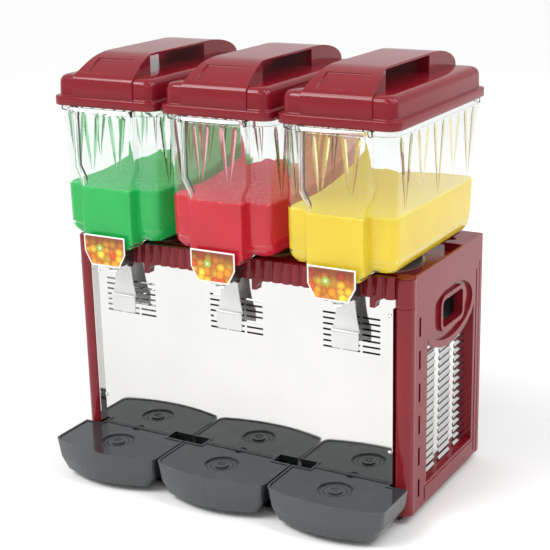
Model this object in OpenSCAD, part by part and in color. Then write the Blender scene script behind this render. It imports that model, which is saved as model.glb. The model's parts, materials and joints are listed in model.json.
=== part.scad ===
// Counter-top cold drinks dispenser with three lift-off bowls, push levers and drip trays.
// Millimetres. The floor is Z = 0, the user stands on the -Y side, and X runs to the right.
// Inside the modules Y = 0 is the middle of the cabinet; frame() moves that to the final origin.

/* [Bowls and lids] */
// Distance between the centres of neighbouring bowls
bowl_pitch = 200; // [198:1:230]
// Half width of a bowl's wall at the rim
bowl_half_w = 90; // [84:1:92]
// Height of a bowl's underside
bowl_base_z = 400; // [400:1:404]
// Height of a bowl's rim, where the lid rests
bowl_rim_z = 611; // [590:1:640]
// Wall thickness of a bowl
bowl_wall = 3; // [2.5:0.5:4]
// Distance from the cabinet's middle to the front wall of a bowl
bowl_front = 185; // [180:1:186]
// Distance from the cabinet's middle to the rear wall of a bowl
bowl_rear = 133; // [125:1:135]
// How far the bowl's central nose stands in front of its front wall
nose_reach = 15; // [12:1:16]
// Half width of a lid's flange
lid_half_w = 96.5; // [94:0.5:98]
// Distance from the cabinet's middle to a lid's front edge
lid_front = 197; // [194:1:200]
// Distance from the cabinet's middle to a lid's rear edge
lid_rear = 143; // [140:1:146]
// Height of the lid handle above the bowl rim
handle_rise = 77; // [70:1:84]

/* [Cabinet] */
// Overall width of the cabinet
body_w = 600; // [600:1:640]
// Depth of the cabinet between its side corners
body_d = 265; // [265:1:280]
// Height of the seam between cabinet and top deck
deck_seam_z = 347; // [345:1:349]
// Height of the top deck's rim
deck_top_z = 390; // [388:1:392]
// Distance from the cabinet's middle to the mirror panel's face
panel_front = 145; // [143:1:146]
// Radius of the front corner columns
column_r = 15; // [14:0.5:15]
// Height of the feet
foot_h = 11.7; // [10:0.1:12]

/* [Drip trays] */
// Distance from the cabinet's middle to the foremost point of a tray
tray_front = 260; // [250:1:270]
// Half width of a tray
tray_half_w = 98.5; // [96:0.5:98.5]
// Height of a tray's rim
tray_top_z = 63; // [58:1:66]
// How far a tray's front bows out between its corners
tray_bow = 17; // [10:1:20]

/* [Valves and levers] */
// Half width of a lever's paddle
paddle_half_w = 22.5; // [18:0.5:24]
// Height of a lever's hinge pin
lever_pin_z = 360; // [358:1:361]
// Height of a lever's lower end
lever_low_z = 275; // [270:1:285]

/* [Hidden] */
$fn = 48;

hull_fn = 32;
skin = 0.02;
fit_gap = 0.3;
running_gap = 0.05;

front_y = -body_d / 2;
rear_y = body_d / 2;
side_x = body_w / 2 - 2;
frame_y = (tray_front - lid_rear) / 2;
left_x = -bowl_pitch;
right_x = bowl_pitch;

maroon = [0.42, 0.07, 0.09];
steel = [0.80, 0.80, 0.78];
clear = [0.85, 0.92, 0.90, 0.35];
charcoal = [0.25, 0.27, 0.28];
black = [0.08, 0.08, 0.08];
copper = [0.72, 0.42, 0.25];

// Bowl: slices from the rounded bottom to the rim
bowl_corner_r = 18;
bottom_r = 22;
bowl_bottom_rear = 112;
nose_half_w = 47;
nose_top_half_w = 57;
nose_step_z = 506;
nose_base_z = 391;
rim_h = 9;
rim_out = 3;
evap_y = -36;
evap_r = 50;
bowl_hole_r = 54;

// Lid
lid_flange_h = 14;
lid_gap = 0.5;
dome_inset = 7;
dome_h = 46;
crown_h = 47.5;
arch_half_w = 42;
arch_front = 192;
arch_rear = 132;
grip_front = 132;
grip_rear = 30;
grip_low = 50;
grip_high = 71;
lid_wall = 3;

// Deck
deck_wall = 4;
deck_floor_z = 378;
deck_floor_t = 4;
fascia_y = -155;
fascia_low_z = 357;
lobe_low_z = 341;
flute_r = 9;
flute_pitch = 17;
niche_half_w = 34;
lobe_half_w = 54;
column_y = -138;
column_cut_x = 272;
foot_x = 268;

// Panel slots
slot_w = 29;
slot_h = 3;
slot_rows = 7;
slot_pitch_x = 33;
slot_pitch_z = 9;
slot_top_z = 322;

// Valve, plunger and lever
valve_half_w = 30;
valve_front = -204;
valve_rear = -174;
valve_low_z = 365;
lug_in = 15;
lug_out = 19;
pin_r = 2;
pin_y = -166;
plunger_y = -187;
plunger_r = 4;
collar_r = 8;
collar_z = 350;
collar_h = 3;
hub_r = 4.6;
plate_t = 1.5;
neck_half_w = 14.5;
bend_z = 303;
paddle_y = -167;

// Label card
card_half_w = 39;
card_foot_half_w = 27;
card_top_z = 412.5;
card_low_z = 362.5;
card_side_z = 385;
card_t = 1.2;

// Trays
tray_pitch = 200.5;
tray_low_z = 12;
tray_wall = 3;
tray_low_inset = 17;
notch_w = 32;
notch_d = 12;
tray_rear = 145.8;
drain_r = 28;
drain_y = -203;
cover_top_z = 61.5;
cover_t = 2.5;

// Side frames
frame_in_x = 283;
recess_front = -87;
recess_rear = 99;
recess_low = 45;
lobe_z = 298;
lobe_ry = 98;
lobe_rz = 53;
grip_hole_front = -28;
grip_hole_rear = 52;
grip_hole_low = 278;
grip_hole_high = 322;
strip_y = -115;
vent_pitch = 52;
vent_h = 30;
vent_w = 7;
vent_count = 6;
vent_top_z = 323;

// Louvre sheets
louvre_t = 1;
louvre_rows = 20;
louvre_pitch = 12.4;
louvre_w = 43;
louvre_reach = 3.2;
louvre_first_z = 43;
louvre_columns = [-46, 16, 77];

// Refrigeration
compressor_x = -150;
compressor_y = 20;
condenser_x0 = 30;
condenser_x1 = 255;
condenser_y0 = -45;
condenser_y1 = 10;
condenser_z0 = 180;
condenser_z1 = 312;
fin_count = 19;
tube_rows = 4;
tube_step = (condenser_z1 - condenser_z0) / 7;
header_y = 108;
header_z = 335;
fan_x = 142;
fan_z = 250;
fan_r = 62;

// Controls
knob_x = 285;
knob_z = 369;
rocker_x = 215;
rocker_z = 300;

module frame() {
    translate([0, frame_y, 0]) children();
}

// Rounded rectangle centred on X, from y0 to y1
module plan(half_w, y0, y1, r) {
    translate([-half_w + r, y0]) square([2 * (half_w - r), y1 - y0]);
    translate([-half_w, y0 + r]) square([2 * half_w, y1 - y0 - 2 * r]);
    for (x = [-half_w + r, half_w - r]) for (y = [y0 + r, y1 - r]) translate([x, y]) circle(r);
}

module slice(half_w, y0, y1, r, z) {
    translate([0, 0, z]) linear_extrude(skin) plan(half_w, y0, y1, r, $fn = hull_fn);
}

module rounded_box(half_w, y0, y1, r, z0, z1) {
    translate([0, 0, z0]) linear_extrude(z1 - z0) plan(half_w, y0, y1, r);
}

module box(x0, x1, y0, y1, z0, z1) {
    translate([x0, y0, z0]) cube([x1 - x0, y1 - y0, z1 - z0]);
}

module rod_x(r, x0, x1, y, z) {
    translate([x0, y, z]) rotate([0, 90, 0]) cylinder(r = r, h = x1 - x0);
}

module rod_y(r, x, y0, y1, z) {
    translate([x, y0, z]) rotate([-90, 0, 0]) cylinder(r = r, h = y1 - y0);
}

module rod_z(r, x, y, z0, z1) {
    translate([x, y, z0]) cylinder(r = r, h = z1 - z0);
}

// Extrudes a (Y, Z) outline along X
module along_x(x0, x1) {
    translate([x0, 0, 0]) rotate([90, 0, 90]) linear_extrude(x1 - x0) children();
}

// Extrudes an (X, Z) outline from y1 back to y0
module along_y(y0, y1) {
    translate([0, y1, 0]) rotate([90, 0, 0]) linear_extrude(y1 - y0) children();
}

// ---------- Bowls ----------

module bowl_body(inset, top_z) {
    w = bowl_half_w - inset;
    f = -bowl_front + inset;
    r = bowl_rear - inset;
    low = bowl_base_z + inset;
    lr = bowl_bottom_rear - inset;
    cr = bowl_corner_r - inset;
    hull() {
        slice(w - bottom_r, f + bottom_r, lr - bottom_r, cr - 8, low);
        slice(w - 10, f + 10, lr - 10, cr - 4, low + 4);
        slice(w - 3.5, f + 3.5, lr - 3, cr, low + 12);
        slice(w - 1.5, f + 1, lr, cr, low + bottom_r);
        slice(w, f, r, cr, top_z);
    }
}

// Central nose that carries the valve, seen from the front; the upper part is wider
module nose_low_outline(inset) {
    w = nose_half_w - inset;
    z = nose_base_z + inset;
    top = nose_step_z - 1.4 * inset;
    polygon([[-w + 8, z], [w - 8, z], [w, z + 8], [w, top], [-w, top], [-w, z + 8]]);
}

module nose_high_outline(inset, top_z) {
    n = nose_half_w - inset - 1;
    w = nose_top_half_w - inset;
    z = nose_step_z - 10 + 0.7 * inset;
    polygon([[-n, z], [n, z], [w, z + 20], [w, top_z], [-w, top_z], [-w, z + 20]]);
}

module bowl_nose(inset, top_z) {
    f = -bowl_front - nose_reach + inset;
    back = -bowl_front + 14 - 1.4 * inset;
    along_y(f, back) nose_low_outline(inset);
    along_y(f + 3.6, back + 0.7) nose_high_outline(inset, top_z);
}

module bowl_rim() {
    translate([0, 0, bowl_rim_z - rim_h]) linear_extrude(rim_h) {
        plan(bowl_half_w + rim_out, -bowl_front - rim_out, bowl_rear + rim_out, bowl_corner_r);
        plan(nose_top_half_w + rim_out, -bowl_front - nose_reach + 2, -bowl_front + 12, 5);
    }
}

module bowl(x) {
    color(clear) frame() translate([x, 0, 0]) difference() {
        union() {
            bowl_body(0, bowl_rim_z - 3);
            bowl_nose(0, bowl_rim_z - 4);
            bowl_rim();
        }
        bowl_body(bowl_wall, bowl_rim_z + 1);
        bowl_nose(bowl_wall, bowl_rim_z + 2);
        rod_z(bowl_hole_r, 0, evap_y, bowl_base_z - 1, bowl_base_z + 10);
        rod_z(6, 0, plunger_y, nose_base_z - 1, nose_base_z + 10);
    }
}

// ---------- Lids ----------

module lid_dome(inset) {
    w = lid_half_w - dome_inset - inset;
    f = -lid_front + dome_inset + inset;
    r = lid_rear - dome_inset - inset;
    z = bowl_rim_z + lid_gap;
    hull() {
        slice(w, f, r, 16, inset > 0 ? z - 1 : z + 5);
        slice(w, f, r, 16, z + dome_h - 11 - inset);
        slice(w - 2.5, f + 2.5, r - 2.5, 14, z + dome_h - 5 - inset);
        slice(w - 8, f + 8, r - 8, 10, z + dome_h - 1 - inset);
        slice(arch_half_w + 3, f + 15, r - 15, 6, z + crown_h - inset);
    }
}

// Side view of the handle arch: the pad on the lid's front, the slope, the level top and the rear slope
function arch_outline() = [
    [-arch_front + 3.5, bowl_rim_z + 12],
    [-arch_front, bowl_rim_z + 12],
    for (a = [0:15:90]) [-arch_front + 58 * (1 - cos(a)), bowl_rim_z + 42 + (handle_rise - 42) * sin(a)],
    for (a = [90:-15:0]) [arch_rear - 92 * (1 - cos(a)), bowl_rim_z + 46 + (handle_rise - 46) * sin(a)],
    [arch_rear, bowl_rim_z + 43],
    [-arch_front + 12, bowl_rim_z + 43],
    [-arch_front + 3.5, bowl_rim_z + 32]
];

module lid_shell() {
    z = bowl_rim_z + lid_gap;
    difference() {
        union() {
            rounded_box(lid_half_w, -lid_front, lid_rear, 20, z, z + lid_flange_h);
            lid_dome(0);
        }
        lid_dome(lid_wall);
    }
}

module lid_arch() {
    difference() {
        along_x(-arch_half_w, arch_half_w) polygon(arch_outline());
        // Hand opening under the arch
        along_x(-arch_half_w - 1, arch_half_w + 1) translate([-grip_front, bowl_rim_z + grip_low])
            square([grip_front + grip_rear, grip_high - grip_low]);
        // Three moulding marks on the top
        for (y = [-95, -30, 40]) rod_z(2.2, 0, y, bowl_rim_z + handle_rise - 1.2, bowl_rim_z + 90);
    }
}

module lid(x) {
    color(maroon) frame() translate([x, 0, 0]) {
        lid_shell();
        lid_arch();
    }
}

// ---------- Label cards, valves, plungers and levers ----------

module card_outline(shrink) {
    polygon([
        [-card_half_w + shrink, card_top_z - shrink],
        [card_half_w - shrink, card_top_z - shrink],
        [card_half_w - shrink, card_side_z],
        [card_foot_half_w - shrink, card_low_z + shrink],
        [-card_foot_half_w + shrink, card_low_z + shrink],
        [-card_half_w + shrink, card_side_z]
    ]);
}

module label_card(x) {
    color("white") frame() translate([x, 0, 0])
        along_y(valve_front - 4 - card_t, valve_front - 4) card_outline(0);
}

module valve(x) {
    color(black) frame() translate([x, 0, 0]) difference() {
        union() {
            box(-valve_half_w, valve_half_w, valve_front, valve_rear, valve_low_z, nose_base_z);
            along_y(valve_front - 4, valve_front + 0.01) card_outline(2);
            for (s = [-1, 1]) {
                rod_x(7, s > 0 ? lug_in : -lug_out, s > 0 ? lug_out : -lug_in, pin_y, lever_pin_z);
                box(s > 0 ? lug_in : -lug_out, s > 0 ? lug_out : -lug_in,
                    pin_y - 7, pin_y, lever_pin_z, valve_low_z + 12);
                box(s > 0 ? lug_in : -lug_out, s > 0 ? lug_out : -lug_in,
                    valve_rear - 6, pin_y - 2, lever_pin_z, valve_low_z + 12);
            }
        }
        rod_x(pin_r, -lug_out - 1, lug_out + 1, pin_y, lever_pin_z);
        rod_z(plunger_r + running_gap, 0, plunger_y, valve_low_z - 1, nose_base_z + 1);
    }
}

module plunger(x) {
    color("gray") frame() translate([x, 0, 0]) {
        rod_z(plunger_r, 0, plunger_y, collar_z, nose_base_z - 1);
        rod_z(collar_r, 0, plunger_y, collar_z, collar_z + collar_h);
    }
}

module lever_pin(x) {
    color(steel) frame() translate([x, 0, 0]) rod_x(pin_r, -lug_out - 1, lug_out + 1, pin_y, lever_pin_z);
}

// Front view of the hanging plate: narrow neck that flares in a hollow curve to the bend
function flare(z) = neck_half_w
    + (paddle_half_w - neck_half_w) * pow((lever_pin_z - z) / (lever_pin_z - bend_z), 2);

module lever_upper_outline() {
    zs = [for (i = [0:8]) lever_pin_z - i * (lever_pin_z - bend_z) / 8];
    polygon(concat([for (z = zs) [flare(z), z]], [for (i = [8:-1:0]) [-flare(zs[i]), zs[i]]]));
}

module lever(x) {
    hub_x = lug_in - fit_gap;
    plate_y = pin_y + hub_r - plate_t;
    back_y = paddle_y + plate_t;
    color(steel) frame() translate([x, 0, 0]) difference() {
        union() {
            rod_x(hub_r, -hub_x, hub_x, pin_y, lever_pin_z);
            along_y(plate_y, plate_y + plate_t) intersection() {
                lever_upper_outline();
                translate([-60, bend_z]) square([120, lever_pin_z - bend_z]);
            }
            // Rolled bend that steps the paddle forward
            box(-paddle_half_w, paddle_half_w, paddle_y, plate_y + plate_t, bend_z - plate_t, bend_z + 0.01);
            rod_x(1.6, -paddle_half_w, paddle_half_w, paddle_y + 0.8, bend_z - 0.9);
            box(-paddle_half_w, paddle_half_w, paddle_y, back_y, lever_low_z + 3, bend_z - plate_t + 0.01);
            box(-paddle_half_w + 3, paddle_half_w - 3, paddle_y, back_y, lever_low_z, lever_low_z + 3.01);
            for (s = [-1, 1]) rod_y(3, s * (paddle_half_w - 3), paddle_y, back_y, lever_low_z + 3);
            // Tail that presses the plunger's collar
            box(-9, 9, plunger_y - 8, pin_y, lever_pin_z - 4.6, lever_pin_z - 2.6);
        }
        rod_x(pin_r + running_gap, -hub_x - 1, hub_x + 1, pin_y, lever_pin_z);
        rod_z(plunger_r + 2.4, 0, plunger_y, lever_pin_z - 6, lever_pin_z);
    }
}

// ---------- Cooling domes, agitators and drives ----------

module evaporator(x) {
    color(steel) frame() translate([x, evap_y, 0]) difference() {
        union() {
            rod_z(evap_r, 0, 0, deck_floor_z, 432);
            translate([0, 0, 432]) rotate_extrude() polygon(concat(
                [[0, 0], [evap_r, 0]],
                [for (a = [15:15:90]) [evap_r - 8 + 8 * cos(a), 8 * sin(a)]],
                [[0, 8]]));
            rod_z(evap_r + 16, 0, 0, deck_floor_z, deck_floor_z + 2);
            rod_z(4, 0, 0, 439, 468);
        }
        rod_z(evap_r - 2, 0, 0, deck_floor_z - 1, 430);
        rod_z(evap_r - 8, 0, 0, 429, 437);
    }
}

module agitator(x) {
    color("white") frame() translate([x, evap_y, 0]) difference() {
        union() {
            rod_z(11, 0, 0, 441, 466);
            rod_z(44, 0, 0, 441, 443.5);
            for (a = [0, 90, 180, 270]) rotate([0, 0, a]) box(8, 44, -1.5, 1.5, 443, 464);
        }
        rod_z(4 + running_gap, 0, 0, 440, 467);
    }
}

module drive_rotor(x) {
    color("dimgray") frame() translate([x, evap_y, 0]) {
        rod_z(4, 0, 0, 325, 424);
        rod_z(38, 0, 0, 423, 428.5);
    }
}

module drive_motors() {
    color("gray") frame() for (x = [left_x, 0, right_x]) translate([x, evap_y, 0]) difference() {
        union() {
            rod_z(27, 0, 0, 318, 358);
            rounded_box(60, -12, 12, 6, 358, 361);
            for (s = [-1, 1]) rod_z(4, s * 55, 0, 360, deck_floor_z - deck_floor_t);
        }
        rod_z(4 + running_gap, 0, 0, 322, 362);
    }
}

module bowl_gaskets() {
    color("lightgray") frame() for (x = [left_x, 0, right_x]) translate([x, evap_y, 0]) difference() {
        union() {
            rod_z(bowl_hole_r - fit_gap, 0, 0, deck_floor_z + 2, 406);
            rod_z(bowl_hole_r + 7, 0, 0, deck_floor_z + 2, bowl_base_z - fit_gap);
        }
        rod_z(evap_r, 0, 0, deck_floor_z, 407);
    }
}

// ---------- Drip trays ----------

// Plan of a tray: straight back and sides, front bowed out on an arc between the corners
function bow_y(x, half, front, bow) = front + bow * pow(x / half, 2);

module tray_plan(half, front, bow, rear, r) {
    steps = 12;
    edge = half - r;
    polygon(concat(
        [for (i = [0:steps]) let (x = -edge + 2 * edge * i / steps) [x, bow_y(x, half, front, bow)]],
        [for (a = [-60:20:0]) [edge + r * cos(a), bow_y(edge, half, front, bow) + r + r * sin(a)]],
        [[half, rear], [-half, rear]],
        [for (a = [180:20:240]) [-edge + r * cos(a), bow_y(edge, half, front, bow) + r + r * sin(a)]]
    ));
}

module tray_shell(inset, z_low) {
    hull() {
        translate([0, 0, z_low]) linear_extrude(skin)
            tray_plan(tray_half_w - tray_low_inset - inset, -tray_front + 2 + inset, 20,
                -tray_rear - 4 - inset, 12);
        translate([0, 0, z_low + 20]) linear_extrude(skin)
            tray_plan(tray_half_w - 5 - inset, -tray_front + 0.5 + inset, 19, -tray_rear - inset, 13);
        translate([0, 0, tray_top_z - (inset > 0 ? 0 : skin)]) linear_extrude(skin)
            tray_plan(tray_half_w - inset, -tray_front + inset, tray_bow, -tray_rear - inset, 14);
    }
}

module tray_notches(grow, z0, z1) {
    in_x = tray_half_w - notch_w - grow;
    out_x = tray_half_w + 5;
    for (x = [-out_x, in_x]) box(x, x + out_x - in_x, -tray_rear - notch_d - grow, -tray_rear + 5, z0, z1);
}

module drip_tray(x) {
    color(charcoal) frame() translate([x, 0, 0]) difference() {
        tray_shell(0, tray_low_z);
        difference() {
            tray_shell(tray_wall, tray_low_z + tray_wall);
            tray_notches(tray_wall, 0, tray_top_z + 1);
        }
        tray_notches(0, 0, tray_top_z + 1);
    }
}

module tray_cover(x) {
    inset = tray_wall + 0.6;
    color(charcoal) frame() translate([x, 0, 0]) difference() {
        union() {
            translate([0, 0, cover_top_z - cover_t]) linear_extrude(cover_t)
                tray_plan(tray_half_w - inset - 1, -tray_front + inset + 1, tray_bow, -tray_rear - inset, 12);
            rod_z(drain_r + 2, 0, drain_y, cover_top_z - 5, cover_top_z);
            for (x = [-60, 60]) for (y = [-225, -175])
                rod_z(5, x, y, tray_low_z + tray_wall + 0.3, cover_top_z - 1);
        }
        tray_notches(inset, 0, tray_top_z + 1);
        // Round drain dish with its ring of holes and the slotted middle boss
        difference() {
            rod_z(drain_r, 0, drain_y, cover_top_z - 2.5, cover_top_z + 1);
            rod_z(11, 0, drain_y, cover_top_z - 3, cover_top_z + 2);
        }
        rod_z(8, 0, drain_y, cover_top_z - 1, cover_top_z + 1);
        box(-5, 5, drain_y - 1.2, drain_y + 1.2, cover_top_z - 6, cover_top_z + 1);
        for (i = [0:19]) rotate_about(i * 18, 18) rod_z(1.5, 0, 0, cover_top_z - 6, cover_top_z + 1);
        for (i = [0:23]) rotate_about(i * 15, 24) rod_z(1.5, 0, 0, cover_top_z - 6, cover_top_z + 1);
        // Finger hole by the panel
        rod_z(7, 0, -tray_rear - inset, cover_top_z - 6, cover_top_z + 1);
    }
}

module rotate_about(angle, radius) {
    translate([0, drain_y, 0]) rotate([0, 0, angle]) translate([radius, 0, 0]) children();
}

// ---------- Cabinet ----------

module front_columns() {
    x = body_w / 2 - column_r;
    color(maroon) frame() for (s = [-1, 1]) difference() {
        union() {
            rod_z(column_r, s * x, column_y, 14, deck_seam_z - 3);
            rod_z(column_r, s * x, column_y, deck_seam_z - 2, deck_seam_z);
            rod_z(column_r - 1.2, s * x, column_y, deck_seam_z - 4, deck_seam_z - 1);
        }
        box(-body_w, body_w, front_y, 0, 0, deck_seam_z + 1);
        box(-column_cut_x, column_cut_x, -200, 0, 0, deck_seam_z + 1);
    }
}

module base_pan() {
    color(black) frame() {
        box(-280.5, 280.5, -142, 126, foot_h, 14);
        for (x = [-tray_pitch / 2, tray_pitch / 2]) {
            box(x - 20, x + 20, -214, -130, foot_h - 2.2, foot_h);
            box(x - 20, x + 20, -155, -150, foot_h - 0.01, 52);
            box(x - 20, x + 20, -151, -146.5, 48, 52);
        }
    }
}

module feet() {
    color(black) frame() for (x = [-foot_x, foot_x]) for (y = [-132, 112]) translate([x, y, 0])
        rotate_extrude() polygon([[0, 0], [10.5, 0], [12, 1.5], [13, foot_h - 1], [13, foot_h], [0, foot_h]]);
}

module front_panel() {
    t = 1;
    flange_x = side_x - 26.5;
    color(steel) frame() difference() {
        union() {
            box(-flange_x, flange_x, -panel_front, -panel_front + t, 16, deck_seam_z + 20);
            for (x = [-flange_x, flange_x - t])
                box(x, x + t, -panel_front - 8, -panel_front + t, 16, deck_seam_z - 4);
        }
        for (x = [left_x, 0, right_x]) for (c = [-1, 0, 1]) for (k = [0:slot_rows - 1])
            box(x + c * slot_pitch_x - slot_w / 2, x + c * slot_pitch_x + slot_w / 2,
                -panel_front - 1, -panel_front + t + 1,
                slot_top_z - k * slot_pitch_z - slot_h, slot_top_z - k * slot_pitch_z);
    }
}

module rear_panel() {
    y = rear_y - 4;
    color(steel) frame() difference() {
        box(-270, 270, y, y + 1.5, 16, deck_seam_z - 0.5);
        for (x = [-190, -120, -50, 110, 180]) for (k = [0:11])
            box(x - 28, x + 28, y - 1, y + 3, 60 + k * 14, 64 + k * 14);
        box(rocker_x - 31, rocker_x + 31, y - 1, y + 3, rocker_z - 14, rocker_z + 14);
        box(-235, -205, y - 1, y + 3, 288, 312);
    }
}

// One side moulding, drawn for the right-hand side; the left one is its mirror image
module side_outline() {
    rect(front_y, rear_y, foot_h + 0.3, deck_seam_z);
}

module rect(y0, y1, z0, z1) {
    translate([y0, z0]) square([y1 - y0, z1 - z0]);
}

module grip_lobe(grow) {
    translate([6, lobe_z]) ellipse(lobe_ry + grow, lobe_rz + grow);
    rect(6 - lobe_ry - grow, 6 + lobe_ry + grow, lobe_z, deck_seam_z);
}

module ellipse(ry, rz) {
    polygon([for (a = [0:6:354]) [ry * cos(a), rz * sin(a)]]);
}

module grip_hole(grow) {
    r = 9 + grow;
    y0 = grip_hole_front - grow;
    y1 = grip_hole_rear + grow;
    z0 = grip_hole_low - grow;
    z1 = grip_hole_high + grow;
    translate([y0 + r, z0]) square([y1 - y0 - 2 * r, z1 - z0]);
    translate([y0, z0 + r]) square([y1 - y0, z1 - z0 - 2 * r]);
    for (y = [y0 + r, y1 - r]) for (z = [z0 + r, z1 - r]) translate([y, z]) circle(r);
}

module right_frame_solid() {
    difference() {
        union() {
            along_x(frame_in_x, side_x) difference() {
                side_outline();
                difference() {
                    rect(recess_front, recess_rear, recess_low, deck_seam_z - 8);
                    grip_lobe(0);
                }
            }
            // Rear corner post, and the bottom rail's bead
            rod_z(9, side_x - 8, rear_y - 9, foot_h + 0.3, deck_seam_z);
            box(side_x - 1, side_x + 1, recess_front - 6, recess_rear + 6, 18, 40);
        }
        // Dished oval round the grip, leaving a raised collar
        along_x(side_x - 5, side_x + 1) difference() {
            intersection() {
                translate([6, lobe_z]) ellipse(lobe_ry - 12, lobe_rz - 11);
                rect(-200, 200, 0, deck_seam_z - 6);
            }
            grip_hole(7);
        }
        along_x(frame_in_x - 1, side_x + 2) grip_hole(0);
        // Upright vents in the strip beside the column
        for (k = [0:vent_count - 1])
            along_x(frame_in_x - 1, side_x + 1)
            translate([strip_y - vent_w / 2, vent_top_z - vent_h - k * vent_pitch]) square([vent_w, vent_h]);
        // Groove in front of the rear post
        box(side_x - 3, side_x + 3, recess_rear + 8, recess_rear + 12, 20, deck_seam_z - 10);
    }
}

module side_frame(side) {
    color(maroon) frame() if (side > 0) right_frame_solid(); else mirror([1, 0, 0]) right_frame_solid();
}

// Pressed sheet behind the frame: each louvre is a slot under a sloping hood
module louvre_hoods(x) {
    for (y = louvre_columns) for (k = [0:louvre_rows - 1])
        translate([x, y + louvre_w / 2, louvre_first_z + k * louvre_pitch]) rotate([90, 0, 0])
        linear_extrude(louvre_w)
        polygon([[0, 3], [louvre_reach, 3.6], [louvre_reach + 0.3, 4.6], [0.4, 9.4]]);
}

module louvre_solid() {
    x1 = frame_in_x - 0.2;
    x0 = x1 - louvre_t;
    difference() {
        union() {
            box(x0, x1, -100, 112, 18, deck_seam_z - 14);
            difference() {
                louvre_hoods(x0 + 0.2);
                along_x(x1 + 0.1, x1 + 10) grip_lobe(0.4);
            }
        }
        for (y = louvre_columns) for (k = [0:louvre_rows - 1])
            box(x0 - 1, x1 + 0.4, y - louvre_w / 2 + 1, y + louvre_w / 2 - 1,
                louvre_first_z + k * louvre_pitch + 0.4, louvre_first_z + k * louvre_pitch + 3);
        along_x(x0 - 1, x1 + louvre_reach + 2) grip_hole(10);
    }
}

module louvre_sheet(side) {
    color(steel) frame() if (side > 0) louvre_solid(); else mirror([1, 0, 0]) louvre_solid();
}

// Fluted front of the deck, in plan; lobes beside each valve reach lower
module flute_plan(x0, x1) {
    n = round((x1 - x0) / flute_pitch);
    step = (x1 - x0) / n;
    translate([x0, fascia_y + 4]) square([x1 - x0, 7]);
    for (i = [0:n - 1]) translate([x0 + step * (i + 0.5), fascia_y + flute_r]) circle(flute_r);
}

module fascia() {
    outer = side_x - 25;
    difference() {
        union() {
            translate([0, 0, fascia_low_z]) linear_extrude(deck_top_z - fascia_low_z) intersection() {
                flute_plan(-outer, outer);
                translate([-outer, fascia_y]) square([2 * outer, 11]);
            }
            for (x = [left_x, 0, right_x]) for (s = [-1, 1])
                translate([x, 0, lobe_low_z]) linear_extrude(fascia_low_z - lobe_low_z + 4)
                    translate([s > 0 ? niche_half_w : -lobe_half_w, fascia_y + 2])
                    square([lobe_half_w - niche_half_w, 7]);
        }
        // Rounded shoulders from the lobes up to the lower lip
        for (x = [left_x, 0, right_x]) for (s = [-1, 1])
            rod_y(14, x + s * (lobe_half_w + 2), fascia_y - 1, fascia_y + 12, lobe_low_z + 1);
    }
}

module deck_shell() {
    difference() {
        box(-side_x, side_x, front_y + 0.5, rear_y, deck_seam_z, deck_top_z);
        box(-side_x + deck_wall, side_x - deck_wall, front_y + 4, rear_y - deck_wall, deck_seam_z - 1,
            deck_floor_z - deck_floor_t);
        box(-side_x + deck_wall, side_x - deck_wall, front_y + 4, 55, deck_floor_z, deck_top_z + 1);
        box(-side_x + 34, side_x - 34, 50, rear_y - 12, deck_floor_z, deck_top_z + 1);
        for (x = [left_x, 0, right_x]) {
            rod_z(evap_r - 1, x, evap_y, deck_floor_z - 10, deck_floor_z + 1);
        }
        for (x = [-side_x + 34, side_x - 34]) rod_z(9, x, 80, deck_floor_z, deck_top_z + 1);
        rod_y(3 + running_gap, knob_x, rear_y - 6, rear_y + 1, knob_z);
    }
}

module top_deck() {
    cx = body_w / 2 - column_r;
    color(maroon) frame() difference() {
        union() {
            deck_shell();
            fascia();
            // Web that joins the fascia to the deck, and the rounded corner posts
            box(-side_x + 24, side_x - 24, fascia_y + 9, front_y + 1, fascia_low_z + 12, deck_floor_z);
            for (s = [-1, 1]) {
                rod_z(column_r, s * cx, column_y, deck_seam_z, deck_top_z - 2);
                rod_z(column_r - 2, s * cx, column_y, deck_top_z - 3, deck_top_z);
            }
        }
        box(-side_x + 24, side_x - 24, -panel_front - 0.5, -panel_front + 1.5,
            deck_seam_z - 10, deck_seam_z + 20.5);
    }
}

// ---------- Refrigeration ----------

module compressor() {
    color(black) frame() translate([compressor_x, compressor_y, 0]) {
        translate([0, 0, 24]) rotate_extrude() polygon(concat(
            [[0, 0], [52, 0]],
            [for (a = [-75:15:0]) [60 + 12 * cos(a) - 2, 12 + 12 * sin(a)]],
            [for (a = [0:15:90]) [40 + 30 * cos(a), 95 + 30 * sin(a)]],
            [[0, 125]]));
        box(-85, 85, -50, 50, 20, 24.5);
        for (sx = [-1, 1]) for (sy = [-1, 1]) rod_z(9, sx * 72, sy * 38, 14, 20.5);
        box(68, 90, -20, 20, 60, 110);
    }
}

module condenser() {
    x0 = condenser_x0;
    x1 = condenser_x1;
    zs = tube_step;
    fin_pitch = (x1 - x0 - 2) / (fin_count - 1);
    color("dimgray") frame() {
        for (i = [0:fin_count - 1])
            translate([x0 + i * fin_pitch, 0, 0])
            box(0, 2, condenser_y0, condenser_y1, condenser_z0, condenser_z1);
        for (y = [condenser_y0, condenser_y1 - 2]) for (z = [condenser_z0, condenser_z1 - 4])
            box(x0, x1, y, y + 2, z, z + 4);
        // Tubes through the fins, joined in pairs by headers that stand past the right-hand end
        for (row = [0:tube_rows - 1]) for (k = [0:2]) {
            y = condenser_y0 + 8 + row * 13;
            z = condenser_z0 + zs * (1 + 2 * k);
            rod_x(4, x0 - 6, x1 + 16, y, z);
            rod_x(4, x0 - 6, x1 + 16, y, z + zs);
            rod_z(3.6, x1 + 12, y, z, z + zs);
        }
        // Legs
        for (x = [x0 + 10, x1 - 20])
            box(x, x + 10, condenser_y0 + 10, condenser_y1 - 10, 14, condenser_z0 + 1);
    }
}

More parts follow.
